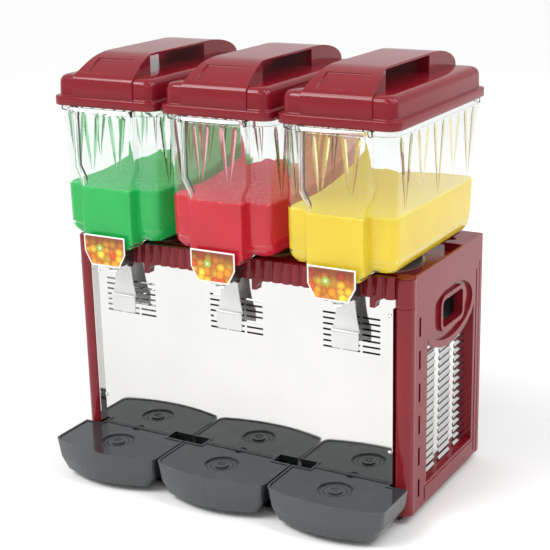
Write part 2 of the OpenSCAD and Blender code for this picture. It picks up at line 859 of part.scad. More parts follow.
module fan_motor() {
    color("gray") frame() difference() {
        union() {
            rod_y(24, fan_x, 52, 88, fan_z);
            for (a = [45, 135, 225, 315]) translate([fan_x, 66, fan_z]) rotate([0, a, 0])
                box(20, 92, -3, 3, -4, 4);
            difference() {
                box(fan_x - 74, fan_x + 74, 12, 70, fan_z - 74, fan_z + 74);
                rod_y(fan_r + 6, fan_x, 11, 71, fan_z);
            }
            box(fan_x - 60, fan_x - 40, 30, 60, 14, fan_z - 73);
            box(fan_x + 40, fan_x + 60, 30, 60, 14, fan_z - 73);
        }
        rod_y(3 + running_gap, fan_x, 51, 80, fan_z);
    }
}

module fan_blade() {
    color("gray") frame() {
        rod_y(15, fan_x, 22, 46, fan_z);
        rod_y(3, fan_x, 22, 78, fan_z);
        for (i = [0:4]) translate([fan_x, 34, fan_z]) rotate([0, i * 72, 0])
            translate([12, 0, 0]) rotate([32, 0, 0]) translate([0, -1, -14]) cube([fan_r - 14, 2, 28]);
    }
}

// Pipe made of straight runs with ball joints at the corners
module pipe_run(points, r) {
    for (i = [0:len(points) - 2]) let (a = points[i], b = points[i + 1], d = b - a, l = norm(d))
        translate(a) rotate([0, acos(d[2] / l), atan2(d[1], d[0])]) cylinder(r = r, h = l);
    for (i = [1:len(points) - 2]) translate(points[i]) sphere(r);
}

// Suction header with a branch into each cooling dome, and the liquid line with its drier
module refrigerant_pipes() {
    cr = 70.4;
    z = condenser_z0 + tube_step;
    color(copper) frame() {
        pipe_run([[compressor_x, compressor_y + cr, 60], [compressor_x, header_y, 60],
            [compressor_x, header_y, header_z], [right_x + 6, header_y, header_z]], 4);
        for (x = [left_x, 0, right_x])
            pipe_run([[x, header_y, header_z], [x, evap_y + 42, header_z], [x, evap_y + 42, 415]], 3);
        rod_x(4, left_x - 6, compressor_x, header_y, header_z);
        pipe_run([[compressor_x, compressor_y - cr, 60], [compressor_x, -100, 60], [-10, -100, 60],
            [-10, -100, z], [-10, condenser_y0 + 8, z], [condenser_x0 - 6.3, condenser_y0 + 8, z]], 4);
        rod_z(13, -10, -100, 90, 170);
    }
}

// ---------- Controls and fixings ----------

module switch_plate() {
    y = rear_y - 2.5;
    color(black) frame() difference() {
        union() {
            box(rocker_x - 36, rocker_x + 36, y, y + 2, rocker_z - 18, rocker_z + 18);
            box(rocker_x - 30, rocker_x + 30, y - 18, y + 1, rocker_z - 13, rocker_z + 13);
        }
        for (x = [rocker_x - 15, rocker_x + 15])
            box(x - 9.5, x + 9.5, y - 15, y + 3, rocker_z - 11, rocker_z + 11);
    }
}

// Rocker with a shallow vee face; it turns about its cross pin
module rocker(x) {
    y = rear_y - 2.5;
    color("red") frame() along_x(x - 9, x + 9)
        translate([0, rocker_z])
        polygon([[y - 9, -4], [y - 1.5, -10], [y + 3.4, -10], [y + 1.6, 0],
            [y + 3.4, 10], [y - 1.5, 10], [y - 9, 4]]);
}

module thermostat_knob() {
    color(black) frame() {
        rod_y(9, knob_x, rear_y + fit_gap, rear_y + 9.5, knob_z);
        rod_y(3, knob_x, rear_y - 5, rear_y + 1, knob_z);
        box(knob_x - 1.5, knob_x + 1.5, rear_y + 9, rear_y + 10.5, knob_z - 8, knob_z + 8);
    }
}

module power_inlet() {
    y = rear_y - 2.5;
    color(black) frame() difference() {
        union() {
            box(-242, -198, y, y + 2, 284, 316);
            box(-234, -206, y - 20, y + 1, 289, 311);
        }
        box(-231, -209, y - 16, y + 3, 292, 308);
    }
    // Three contact blades; the middle one sits higher
    color(steel) frame() for (x = [-226, -220, -214]) let (z = x == -220 ? 302 : 297)
        box(x - 1, x + 1, y - 17, y - 6, z, z + 4);
}

module panel_screws() {
    color(steel) frame() {
        for (s = [-1, 1]) for (z = [112, 330])
            translate([s * 263, -panel_front, z]) rotate([90, 0, 0]) rotate_extrude()
                polygon([[0, 0], [3.2, 0], [3, 1], [2, 1.6], [0, 1.8]]);
        for (s = [-1, 1]) for (z = [40, 190, 335])
            translate([s * 262, rear_y - 2.5, z]) rotate([-90, 0, 0]) rotate_extrude()
                polygon([[0, 0], [3.5, 0], [3.3, 1], [2.2, 1.7], [0, 1.9]]);
    }
}

lid(left_x);  // left_lid
lid(0);  // middle_lid
lid(right_x);  // right_lid
bowl(left_x);  // left_bowl
bowl(0);  // middle_bowl
bowl(right_x);  // right_bowl
label_card(left_x);  // left_label_card
label_card(0);  // middle_label_card
label_card(right_x);  // right_label_card
valve(left_x);  // left_valve
valve(0);  // middle_valve
valve(right_x);  // right_valve
plunger(left_x);  // left_plunger
plunger(0);  // middle_plunger
plunger(right_x);  // right_plunger
lever(left_x);  // left_lever
lever(0);  // middle_lever
lever(right_x);  // right_lever
lever_pin(left_x);  // left_lever_pin
lever_pin(0);  // middle_lever_pin
lever_pin(right_x);  // right_lever_pin
evaporator(left_x);  // left_evaporator
evaporator(0);  // middle_evaporator
evaporator(right_x);  // right_evaporator
agitator(left_x);  // left_agitator
agitator(0);  // middle_agitator
agitator(right_x);  // right_agitator
drive_rotor(left_x);  // left_drive_rotor
drive_rotor(0);  // middle_drive_rotor
drive_rotor(right_x);  // right_drive_rotor
drip_tray(-tray_pitch);  // left_drip_tray
drip_tray(0);  // middle_drip_tray
drip_tray(tray_pitch);  // right_drip_tray
tray_cover(-tray_pitch);  // left_tray_cover
tray_cover(0);  // middle_tray_cover
tray_cover(tray_pitch);  // right_tray_cover
bowl_gaskets();
drive_motors();
top_deck();
front_panel();
rear_panel();
base_pan();
side_frame(-1);  // left_side_frame
side_frame(1);  // right_side_frame
louvre_sheet(-1);  // left_louvre_sheet
louvre_sheet(1);  // right_louvre_sheet
front_columns();
feet();
compressor();
condenser();
fan_motor();
fan_blade();
refrigerant_pipes();
switch_plate();
rocker(rocker_x - 15);  // power_rocker
rocker(rocker_x + 15);  // mixer_rocker
thermostat_knob();
power_inlet();
panel_screws();
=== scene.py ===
"""Looks of the three-bowl cold drinks dispenser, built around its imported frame.

Everything is in metres and in the same frame as the CAD. Profiles are in millimetres, scaled by MM.
"""
import json
import math

import bmesh
import bpy
from mathutils import Matrix, Vector

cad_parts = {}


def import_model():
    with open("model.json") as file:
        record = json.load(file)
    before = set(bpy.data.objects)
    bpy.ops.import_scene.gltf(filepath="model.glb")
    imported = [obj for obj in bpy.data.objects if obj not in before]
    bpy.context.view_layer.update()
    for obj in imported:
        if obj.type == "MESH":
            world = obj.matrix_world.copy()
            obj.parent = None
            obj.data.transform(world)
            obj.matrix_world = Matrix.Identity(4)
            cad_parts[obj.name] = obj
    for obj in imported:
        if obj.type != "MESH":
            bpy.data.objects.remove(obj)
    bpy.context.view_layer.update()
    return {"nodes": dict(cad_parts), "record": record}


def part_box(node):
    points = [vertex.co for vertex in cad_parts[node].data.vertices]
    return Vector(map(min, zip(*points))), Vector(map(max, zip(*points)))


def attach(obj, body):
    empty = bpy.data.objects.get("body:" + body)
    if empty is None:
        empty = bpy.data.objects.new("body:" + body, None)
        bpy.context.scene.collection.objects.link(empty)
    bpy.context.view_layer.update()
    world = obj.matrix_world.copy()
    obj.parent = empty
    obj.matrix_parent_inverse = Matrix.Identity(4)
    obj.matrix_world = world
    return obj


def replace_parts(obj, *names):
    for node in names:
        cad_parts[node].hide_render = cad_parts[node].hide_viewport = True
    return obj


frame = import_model()

MM = 0.001
SIDES = ("left", "middle", "right")
DRINKS = {"left": (0.020, 0.56, 0.12), "middle": (0.72, 0.022, 0.045), "right": (0.92, 0.71, 0.05)}
DRINK_LEVEL = 486 * MM


# ---------- Materials ----------

def nodes_of(name):
    mat = bpy.data.materials.new(name)
    mat.use_nodes = True
    tree = mat.node_tree
    return mat, tree, tree.nodes["Principled BSDF"]


def link(tree, a, b):
    tree.links.new(a, b)


def coords(tree, scale=(1, 1, 1)):
    tex = tree.nodes.new("ShaderNodeTexCoord")
    mapping = tree.nodes.new("ShaderNodeMapping")
    mapping.inputs["Scale"].default_value = scale
    link(tree, tex.outputs["Object"], mapping.inputs["Vector"])
    return mapping.outputs["Vector"]


def noise(tree, vector, scale, detail=4.0, rough=0.55):
    tex = tree.nodes.new("ShaderNodeTexNoise")
    tex.inputs["Scale"].default_value = scale
    tex.inputs["Detail"].default_value = detail
    tex.inputs["Roughness"].default_value = rough
    link(tree, vector, tex.inputs["Vector"])
    return tex.outputs["Fac"]


def spread(tree, value, low, high, start=0.3, end=0.7):
    """Maps a 0 to 1 value onto low to high."""
    node = tree.nodes.new("ShaderNodeMapRange")
    node.inputs["From Min"].default_value = start
    node.inputs["From Max"].default_value = end
    node.inputs["To Min"].default_value = low
    node.inputs["To Max"].default_value = high
    link(tree, value, node.inputs["Value"])
    return node.outputs["Result"]


def blend_colours(tree, factor, first, second):
    node = tree.nodes.new("ShaderNodeMix")
    node.data_type = "RGBA"
    for socket, value in ((node.inputs[6], first), (node.inputs[7], second)):
        if isinstance(value, tuple):
            socket.default_value = (*value, 1)
        else:
            link(tree, value, socket)
    link(tree, factor, node.inputs[0])
    return node.outputs[2]


def bump(tree, shader, height, distance, strength=1.0):
    node = tree.nodes.new("ShaderNodeBump")
    node.inputs["Distance"].default_value = distance
    node.inputs["Strength"].default_value = strength
    link(tree, height, node.inputs["Height"])
    link(tree, node.outputs["Normal"], shader.inputs["Normal"])


def multiply(tree, first, second):
    node = tree.nodes.new("ShaderNodeMath")
    node.operation = "MULTIPLY"
    link(tree, first, node.inputs[0])
    link(tree, second, node.inputs[1])
    return node.outputs["Value"]


def edge_wear(tree):
    """0 on flat surfaces, rising to 1 close to an edge, broken up by noise."""
    rounded = tree.nodes.new("ShaderNodeBevel")
    rounded.samples = 4
    rounded.inputs["Radius"].default_value = 0.0011
    geometry = tree.nodes.new("ShaderNodeNewGeometry")
    facing = tree.nodes.new("ShaderNodeVectorMath")
    facing.operation = "DOT_PRODUCT"
    link(tree, rounded.outputs["Normal"], facing.inputs[0])
    link(tree, geometry.outputs["Normal"], facing.inputs[1])
    edge = spread(tree, facing.outputs["Value"], 1, 0, 0.80, 0.99)
    broken = spread(tree, noise(tree, coords(tree), 90.0), 0.1, 0.8, 0.4, 0.65)
    return multiply(tree, edge, broken)


def moulded(name, colour, worn, rough=0.16, grain=260.0, depth=0.00002, gloss=0.5):
    """Moulded plastic: faint flow marks in the colour, fine surface grain, edges rubbed lighter."""
    mat, tree, shader = nodes_of(name)
    vector = coords(tree)
    flow = spread(tree, noise(tree, vector, 9.0), 0, 0.35)
    shade = blend_colours(tree, flow, colour, tuple(0.72 * c for c in colour))
    shade = blend_colours(tree, edge_wear(tree), shade, worn)
    link(tree, shade, shader.inputs["Base Color"])
    link(tree, spread(tree, noise(tree, vector, 40.0), rough * 0.7, rough * 1.4), shader.inputs["Roughness"])
    bump(tree, shader, noise(tree, vector, grain), depth, 0.5)
    shader.inputs["Specular IOR Level"].default_value = gloss
    return mat


def metal(name, colour, rough, stretch=(1, 1, 1), scale=60.0, depth=0.000012, change=0.06):
    """Bare or polished metal with a fine directional grain and faint handling marks."""
    mat, tree, shader = nodes_of(name)
    grain = noise(tree, coords(tree, stretch), scale, 6.0, 0.7)
    smears = noise(tree, coords(tree), 7.0)
    dull = tuple(c * (1 - change) for c in colour)
    link(tree, blend_colours(tree, spread(tree, smears, 0, 1), colour, dull), shader.inputs["Base Color"])
    link(tree, spread(tree, smears, rough * 0.7, rough * 1.5), shader.inputs["Roughness"])
    shader.inputs["Metallic"].default_value = 1.0
    bump(tree, shader, grain, depth, 0.35)
    return mat


def clear_plastic():
    """Clear polycarbonate: fine scuffs and a slight waviness from moulding."""
    mat, tree, shader = nodes_of("clear_polycarbonate")
    vector = coords(tree, (1, 1, 0.35))
    shader.inputs["Base Color"].default_value = (0.965, 0.985, 0.975, 1)
    shader.inputs["Transmission Weight"].default_value = 1.0
    shader.inputs["IOR"].default_value = 1.46
    link(tree, spread(tree, noise(tree, vector, 30.0), 0.0, 0.05), shader.inputs["Roughness"])
    bump(tree, shader, noise(tree, vector, 24.0, 2.0), 0.0004, 0.35)
    return mat


def drink(name, colour):
    """Opaque juice: pulp mottling, a few pale specks at the surface, a wet gloss and a weak glow."""
    mat, tree, shader = nodes_of(name)
    vector = coords(tree)
    pale = tuple(0.7 * c + 0.28 for c in colour)
    deep = tuple(0.74 * c for c in colour)
    body = blend_colours(tree, spread(tree, noise(tree, vector, 14.0), 0, 0.6), colour, deep)
    split = tree.nodes.new("ShaderNodeSeparateXYZ")
    link(tree, vector, split.inputs["Vector"])
    near_top = spread(tree, split.outputs["Z"], 0, 1, DRINK_LEVEL - 5 * MM, DRINK_LEVEL)
    # Pale specks near the top of the drink, blended over its body colour
    specks = spread(tree, noise(tree, vector, 150.0, 7.0), 0, 0.8, 0.53, 0.64)
    top_specks = multiply(tree, near_top, specks)
    link(tree, blend_colours(tree, top_specks, body, pale), shader.inputs["Base Color"])
    shader.inputs["Roughness"].default_value = 0.3
    shader.inputs["Specular IOR Level"].default_value = 0.06
    # The glow stands in for light that passes through real juice. It is strongest near the top
    shader.inputs["Emission Color"].default_value = (*colour, 1)
    link(tree, spread(tree, near_top, 0.22, 0.48, 0.2, 1.0), shader.inputs["Emission Strength"])
    bump(tree, shader, noise(tree, vector, 55.0), 0.0014, 0.6)
    return mat


def fruit_print():
    """A plain pattern of round fruit: each cell is one fruit, shaded towards its rim."""
    mat, tree, shader = nodes_of("fruit_print")
    vector = coords(tree, (1, 1, 1))
    cells = tree.nodes.new("ShaderNodeTexVoronoi")
    cells.inputs["Scale"].default_value = 80.0
    cells.inputs["Randomness"].default_value = 0.55
    link(tree, vector, cells.inputs["Vector"])
    ramp = tree.nodes.new("ShaderNodeValToRGB")
    ramp.color_ramp.interpolation = "CONSTANT"
    stops = ((0.0, (0.95, 0.30, 0.015)), (0.3, (0.98, 0.55, 0.03)), (0.5, (0.85, 0.10, 0.02)),
             (0.66, (0.97, 0.72, 0.05)), (0.9, (0.90, 0.38, 0.02)))
    ramp.color_ramp.elements[0].color = (*stops[0][1], 1)
    ramp.color_ramp.elements[1].position = stops[1][0]
    ramp.color_ramp.elements[1].color = (*stops[1][1], 1)
    for position, colour in stops[2:]:
        ramp.color_ramp.elements.new(position).color = (*colour, 1)
    split = tree.nodes.new("ShaderNodeSeparateColor")
    link(tree, cells.outputs["Color"], split.inputs["Color"])
    link(tree, split.outputs["Red"], ramp.inputs["Fac"])
    rim = spread(tree, cells.outputs["Distance"], 0, 0.75, 0.25, 0.62)
    fruit = blend_colours(tree, rim, ramp.outputs["Color"], (0.30, 0.07, 0.01))
    height = tree.nodes.new("ShaderNodeSeparateXYZ")
    link(tree, vector, height.inputs["Vector"])
    dusk = spread(tree, height.outputs["Z"], 0, 0.8, 388 * MM, 404 * MM)
    link(tree, blend_colours(tree, dusk, fruit, (0.16, 0.018, 0.012)), shader.inputs["Base Color"])
    shader.inputs["Roughness"].default_value = 0.35
    bump(tree, shader, noise(tree, vector, 500.0), 0.00001, 0.3)
    return mat


MAROON = (0.205, 0.009, 0.016)
MATERIALS = {
    "maroon_plastic": moulded("maroon_moulding", MAROON, (0.40, 0.07, 0.08), rough=0.11, gloss=0.34),
    "clear_plastic": clear_plastic(),
    "mirror_steel": metal("mirror_steel", (0.70, 0.695, 0.68), 0.05, scale=30.0, depth=0.000004),
    "polished_steel": metal("polished_steel", (0.86, 0.86, 0.85), 0.10, (1, 1, 30), 90.0),
    "brushed_steel": metal("brushed_steel", (0.62, 0.62, 0.61), 0.28, (40, 1, 1), 40.0, 0.00002),
    "tray_grey": moulded("tray_moulding", (0.030, 0.036, 0.040), (0.15, 0.16, 0.17), rough=0.13,
                         depth=0.00003, gloss=0.75),
    "black_plastic": moulded("black_moulding", (0.012, 0.012, 0.013), (0.08, 0.08, 0.08), rough=0.42),
    "valve_plastic": moulded("valve_moulding", (0.03, 0.016, 0.015), (0.10, 0.07, 0.07), rough=0.22),
    "label_print": moulded("card_border", (0.84, 0.84, 0.82), (0.9, 0.9, 0.9), rough=0.35),
    "white_plastic": moulded("white_moulding", (0.75, 0.76, 0.75), (0.85, 0.85, 0.85), rough=0.3),
    "silicone": moulded("silicone_seal", (0.05, 0.05, 0.05), (0.1, 0.1, 0.1), rough=0.5),
    "black_rubber": moulded("foot_rubber", (0.015, 0.015, 0.015), (0.05, 0.05, 0.05), rough=0.65),
    "black_enamel": moulded("black_enamel", (0.010, 0.010, 0.011), (0.10, 0.09, 0.08), rough=0.22),
    "fin_aluminium": metal("fin_aluminium", (0.30, 0.32, 0.32), 0.35, change=0.3),
    "copper_tube": metal("copper_tube", (0.72, 0.36, 0.20), 0.25, change=0.35),
    "motor_steel": metal("motor_steel", (0.30, 0.31, 0.32), 0.4, change=0.2),
    "rocker_red": moulded("rocker_red", (0.50, 0.01, 0.01), (0.6, 0.1, 0.1), rough=0.15),
}

LEVER_STEEL = metal("lever_steel", (0.66, 0.66, 0.65), 0.30, (1, 1, 20), 90.0)
LEVER_STEEL.node_tree.nodes["Principled BSDF"].inputs["Metallic"].default_value = 0.55

slot_of = {part["node"]: part["material_slot"] for part in frame["record"]["subparts"]}
for node, obj in frame["nodes"].items():
    obj.data.materials.clear()
    obj.data.materials.append(LEVER_STEEL if node.endswith("_lever") else MATERIALS[slot_of[node]])


# ---------- Mesh helpers ----------

def rounded_ring(half_w, y0, y1, radius, z, steps=8):
    """Corner by corner outline of a rounded rectangle, centred on X = 0, at height z."""
    corners = ((half_w, y0, -90), (half_w, y1, 0), (-half_w, y1, 90), (-half_w, y0, 180))
    points = []
    for cx, cy, start in corners:
        centre_x = cx - math.copysign(radius, cx)
        centre_y = cy + (radius if cy == y0 else -radius)
        for i in range(steps + 1):
            angle = math.radians(start + 90 * i / steps)
            points.append((centre_x + radius * math.cos(angle), centre_y + radius * math.sin(angle), z))
    return points


def loft(bm, rings, cap_start=True, cap_end=True):
    """Joins rings of equal length by quads."""
    rows = [[bm.verts.new(p) for p in ring] for ring in rings]
    count = len(rows[0])
    for a, b in zip(rows, rows[1:]):
        for i in range(count):
            j = (i + 1) % count
            bm.faces.new((a[i], a[j], b[j], b[i]))
    if cap_start:
        bm.faces.new(reversed(rows[0]))
    if cap_end:
        bm.faces.new(rows[-1])
    return rows


def prism(bm, outline, x0, x1):
    """Solid between x0 and x1 with a (Y, Z) outline."""
    return loft(bm, [[(x0, y, z) for y, z in outline], [(x1, y, z) for y, z in outline]])


def finish_mesh(name, bm, material, body, smooth=35.0):
    bmesh.ops.recalc_face_normals(bm, faces=bm.faces)
    mesh = bpy.data.meshes.new(name)
    bm.to_mesh(mesh)
    bm.free()
    obj = bpy.data.objects.new(name, mesh)
    bpy.context.scene.collection.objects.link(obj)
    mesh.materials.append(material)
    for polygon in mesh.polygons:
        polygon.use_smooth = True
    mesh.set_sharp_from_angle(angle=math.radians(smooth))
    if body:
        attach(obj, body)
    return obj


def bevel(obj, width, segments=3, angle=35.0):
    modifier = obj.modifiers.new("bevel", "BEVEL")
    modifier.width = width
    modifier.segments = segments
    modifier.limit_method = "ANGLE"
    modifier.angle_limit = math.radians(angle)
    modifier.harden_normals = True


def bake_modifiers(obj):
    graph = bpy.context.evaluated_depsgraph_get()
    mesh = bpy.data.meshes.new_from_object(obj.evaluated_get(graph))
    obj.modifiers.clear()
    obj.data = mesh


# ---------- Lids ----------

def lid_shell(side):
    """Flanged, domed shell: the rings run down the inside and up the outside."""
    lo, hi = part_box(f"{side}_lid")
    cx = (lo.x + hi.x) / 2
    half = (hi.x - lo.x) / 2
    wall, foot_inset, dome_inset = 3.0, 10.0, 7.0
    # Inset from the lid's box, height above its foot and corner radius: flange, step, dome
    outside = ((1.2, 0, 19), (0.3, 0.4, 20), (0, 1.4, 20), (0, 12.2, 20), (0.4, 13.4, 20), (1.6, 14.0, 19),
               (5.6, 14.2, 16), (6.6, 14.8, 16), (7.0, 16.2, 16), (7.3, 33.0, 16), (7.9, 37.5, 16),
               (9.4, 41.5, 16), (12.0, 44.4, 15), (15.5, 46.0, 14), (22, 46.8, 13), (40, 47.3, 11),
               (70, 47.5, 6))
    inside = [(i + wall, max(z - wall, 0), max(r - wall, 2)) for i, z, r in outside if i >= dome_inset]
    bm = bmesh.new()
    rings = []
    for inset, rise, radius in list(reversed(inside)) + [(foot_inset, 0.0, 13)] + list(outside):
        ring = rounded_ring(half - inset * MM, lo.y + inset * MM, hi.y - inset * MM, radius * MM,
                            lo.z + rise * MM)
        rings.append([(x + cx, y, z) for x, y, z in ring])
    loft(bm, rings)
    return finish_mesh(f"{side}_lid_shell", bm, MATERIALS["maroon_plastic"], f"{side}_lid_unit",
                       50)


# Front slope of the handle: distance behind its front, height above the bowl's rim
SLOPE = ((0, 38), (1.5, 43), (5, 47), (12, 51.5), (24, 58.5), (36, 65), (48, 70.3), (60, 74), (72, 76.2),
         (86, 77))
HANDLE_RISE = 77
GRIP_START = 68 * MM
GRIP_END = 222 * MM
FLARE = 11 * MM
REAR_SLOPE = 92 * MM


def arch_outline(front, rear, top):
    """Side view of the handle as (Y, Z): front pad, slope, level top, rear slope and the hand opening."""
    def z(rise):
        return top - (HANDLE_RISE - rise) * MM
    grip_front, grip_rear, grip_high = front + GRIP_START, front + GRIP_END, z(73.4)
    outer = [(front + 3.5 * MM, z(12)), (front, z(12))]
    outer += [(front + y * MM, z(rise)) for y, rise in SLOPE]
    for i in range(15, -1, -1):
        a = math.radians(6 * i)
        outer.append((rear - REAR_SLOPE * (1 - math.cos(a)), z(46) + 31 * MM * math.sin(a)))
    inner = [(rear, z(43)), (grip_rear, z(43)), (grip_rear, grip_high), (grip_front, grip_high),
             (grip_front, z(43)), (front + 12 * MM, z(43)), (front + 3.5 * MM, z(32))]
    return outer + inner


def lid_arch(side):
    lo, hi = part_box(f"{side}_lid")
    cx = (lo.x + hi.x) / 2
    half, recess_depth = 45.5 * MM, 2.8
    front, rear = lo.y + 5 * MM, hi.y - 8 * MM
    grip_front = front + GRIP_START
    bm = bmesh.new()
    prism(bm, arch_outline(front, rear, hi.z), cx - half, cx + half)
    # The front pad widens towards the front
    bmesh.ops.bisect_plane(bm, geom=bm.verts[:] + bm.edges[:] + bm.faces[:], plane_co=(0, grip_front, 0),
                           plane_no=(0, 1, 0))
    for vert in bm.verts:
        if vert.co.y < grip_front:
            vert.co.x += math.copysign(FLARE * (grip_front - vert.co.y) / GRIP_START, vert.co.x - cx)
    obj = finish_mesh(f"{side}_lid_handle", bm, MATERIALS["maroon_plastic"], f"{side}_lid_unit",
                      40)
    # Shallow rectangular recess that follows the front slope
    floor_line = [(front + y * MM, hi.z - (HANDLE_RISE - rise + recess_depth) * MM)
                  for y, rise in SLOPE[3:7]]
    cutter_outline = floor_line + [(floor_line[-1][0], hi.z + 0.02), (floor_line[0][0], hi.z + 0.02)]
    bm = bmesh.new()
    prism(bm, cutter_outline, cx - 36 * MM, cx + 31 * MM)
    cutter = finish_mesh("cutter", bm, MATERIALS["maroon_plastic"], None)
    cut = obj.modifiers.new("recess", "BOOLEAN")
    cut.operation = "DIFFERENCE"
    cut.object = cutter
    cut.solver = "EXACT"
    bevel(obj, 1.0 * MM, 3, 40)
    bake_modifiers(obj)
    bpy.data.objects.remove(cutter)


for side in SIDES:
    lid = lid_shell(side)
    lid_arch(side)
    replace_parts(lid, f"{side}_lid")


# ---------- Bowls ----------

NOSE_REACH = 15
BOWL_BASE_RISE = 9


def bowl_ring(cx, front, body, body_z, nose, nose_z):
    """Outline of a bowl with its nose, in mm from the bowl's front face and its middle.

    body is (side, front, rear, radius) and nose is (half width, front line).
    """
    half, y0, y1, radius = body
    wide, nose_y = nose
    points = []
    for corner_x, start in ((-wide, 180), (wide, 270)):
        points += [(corner_x, y0, nose_z)] if corner_x < 0 else []
        for i in range(5):
            angle = math.radians(start + 90 * i / 4)
            bend = min(5.0, max(y0 - nose_y, 0))
            points.append((corner_x - math.copysign(bend, corner_x) + bend * math.cos(angle),
                           nose_y + bend + bend * math.sin(angle), nose_z))
        points += [(corner_x, y0, nose_z)] if corner_x > 0 else []
    for corner_x, corner_y, start in ((half, y0, 270), (half, y1, 0), (-half, y1, 90), (-half, y0, 180)):
        for i in range(9):
            angle = math.radians(start + 90 * i / 8)
            inward = radius if corner_y == y0 else -radius
            points.append((corner_x - math.copysign(radius, corner_x) + radius * math.cos(angle),
                           corner_y + inward + radius * math.sin(angle), body_z))
    return [(cx + x * MM, front + y * MM, z * MM) for x, y, z in points]


def bowl_levels(inset):
    """Body outlines by height above the base: (height, side, front, rear, corner radius), all in mm."""
    round_foot = 22
    rows = ((0, 68, 22, 275, 10), (4, 80, 10, 287, 14), (12, 86.5, 3.5, 294, 18), (22, 88.5, 1, 297, 18),
            (96, 89.0, 0.6, 304.5, 18), (116, 89.2, 0.5, 306.5, 18), (199, 89.9, 0.1, 317, 18))
    return [(h + inset * (h < round_foot), s - inset, f + inset, r - inset, max(c - inset, 3))
            for h, s, f, r, c in rows]


def bowl_shell(side):
    """Clear tub in one piece: tapered rear, rounded corners, a rim, and a nose that widens higher up."""
    lo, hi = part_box(f"{side}_bowl")
    cx = (lo.x + hi.x) / 2
    front = lo.y + NOSE_REACH * MM
    base, low, top = lo.z / MM + BOWL_BASE_RISE, lo.z / MM, hi.z / MM
    wall, hole_r = 3.0, 54 * MM
    nose_foot, nose_half, nose_top_half, nose_step = 39, 47.0, 57.0, 110

    def walls(inset):
        levels = bowl_levels(inset)
        nose_y = -NOSE_REACH + inset
        _, s, f, r, c = levels[0]
        foot = nose_foot - inset
        rings = [bowl_ring(cx, front, (s, f, r, c), base + inset, (foot, f), base + inset),
                 bowl_ring(cx, front, (s, f, r, c), base + inset, (foot, nose_y), low + inset)]
        noses = (low + 8, base + 4, base + 12, base + 22, base + 96, base + 116, base + 199)
        for (h, s, f, r, c), nose_z in zip(levels, noses):
            wide = nose_half if h < nose_step else nose_top_half
            rings.append(bowl_ring(cx, front, (s, f, r, c), base + h, (wide - inset, nose_y), nose_z))
        return rings

    dome_lo, dome_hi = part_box(f"{side}_evaporator")
    dome_y = (dome_lo.y + dome_hi.y) / 2
    outer, inner = walls(0.0), walls(wall)

    def circle(z):
        ring = []
        for x, y, _ in outer[0]:
            angle = math.atan2(y - dome_y, x - cx)
            ring.append((cx + hole_r * math.cos(angle), dome_y + hole_r * math.sin(angle), z * MM))
        return ring

    # Steps outwards and down from the top, round the rim and back to the inside
    rim_steps = ((0.1, 9.6), (2.0, 9.0), (3.0, 8.2), (3.0, 1.0), (2.2, 0.05), (-2.0, 0.05), (-2.9, 0.8))
    rim = []
    for out, drop in rim_steps:
        nose = (nose_top_half + out, -NOSE_REACH + min(out, 0))
        rim.append(bowl_ring(cx, front, (90 + out, -out, 318 + out, 19), top - drop, nose, top - drop))
    rings = [circle(base + wall), circle(base)] + outer + rim + list(reversed(inner)) + [circle(base + wall)]
    bm = bmesh.new()
    loft(bm, rings, False, False)
    bmesh.ops.remove_doubles(bm, verts=bm.verts, dist=0.00002)
    bmesh.ops.dissolve_degenerate(bm, dist=0.00002, edges=bm.edges)
    return finish_mesh(f"{side}_bowl_shell", bm, MATERIALS["clear_plastic"], f"{side}_bowl_unit",
                       28)


for side in SIDES:
    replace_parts(bowl_shell(side), f"{side}_bowl")


# ---------- Drinks ----------

def drink_body(side):
    """Liquid to just under half way: it meets the bowl's walls and leaves room for the cooling dome."""
    lo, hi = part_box(f"{side}_bowl")
    cx = (lo.x + hi.x) / 2
    front = lo.y + NOSE_REACH * MM
    base = lo.z + BOWL_BASE_RISE * MM
    inset, half = 2.6, 90.0
    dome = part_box(f"{side}_evaporator")
    dome_y = (dome[0].y + dome[1].y) / 2
    top_step = DRINK_LEVEL - base
    # Side and front insets, rear face, corner radius and height above the base
    sections = ((22, 22, 90, 10, 0), (10, 10, 102, 14, 4), (3.5, 3.5, 109, 15, 12),
                (1.5, 1.0, 112, 15, 22), (0.9, 0.6, 118.5, 15, top_step / MM - inset - 1.5),
                (2.2, 2.0, 117, 14, top_step / MM - inset))
    cabinet_y = front + 185 * MM
    rings = []
    for side_in, front_in, rear, radius, rise in sections:
        ring = rounded_ring((half - side_in - inset) * MM, front + (front_in + inset) * MM,
                            cabinet_y + (rear - inset) * MM, radius * MM, base + (inset + rise) * MM)
        rings.append([(x + cx, y, z) for x, y, z in ring])
    hollow = []
    for radius, z in ((40, 470), (53, 468), (53.4, 0)):
        height = z * MM if z else rings[0][0][2]
        circle = []
        for x, y, _ in rings[0]:
            angle = math.atan2(y - dome_y, x - cx)
            circle.append((cx + radius * MM * math.cos(angle), dome_y + radius * MM * math.sin(angle),
                           height))
        hollow.append(circle)
    bm = bmesh.new()
    loft(bm, hollow + rings)
    # The part inside the bowl's nose
    nose, chamfer = 47 - inset, 8
    nose_low = lo.z + inset * MM
    tall = (DRINK_LEVEL - nose_low) / MM - 0.25
    front_face, back_face = lo.y + inset * MM, lo.y + 40 * MM
    outline = [(-nose + chamfer, 0), (nose - chamfer, 0), (nose, chamfer), (nose, tall), (-nose, tall),
               (-nose, chamfer)]
    loft(bm, [[(cx + x * MM, y, nose_low + h * MM) for x, h in outline] for y in (front_face, back_face)])
    finish_mesh(f"{side}_drink", bm, drink(f"{side}_juice", DRINKS[side]), f"{side}_bowl_unit")


for side in SIDES:
    drink_body(side)


# ---------- Moulded ribs on the bowls ----------

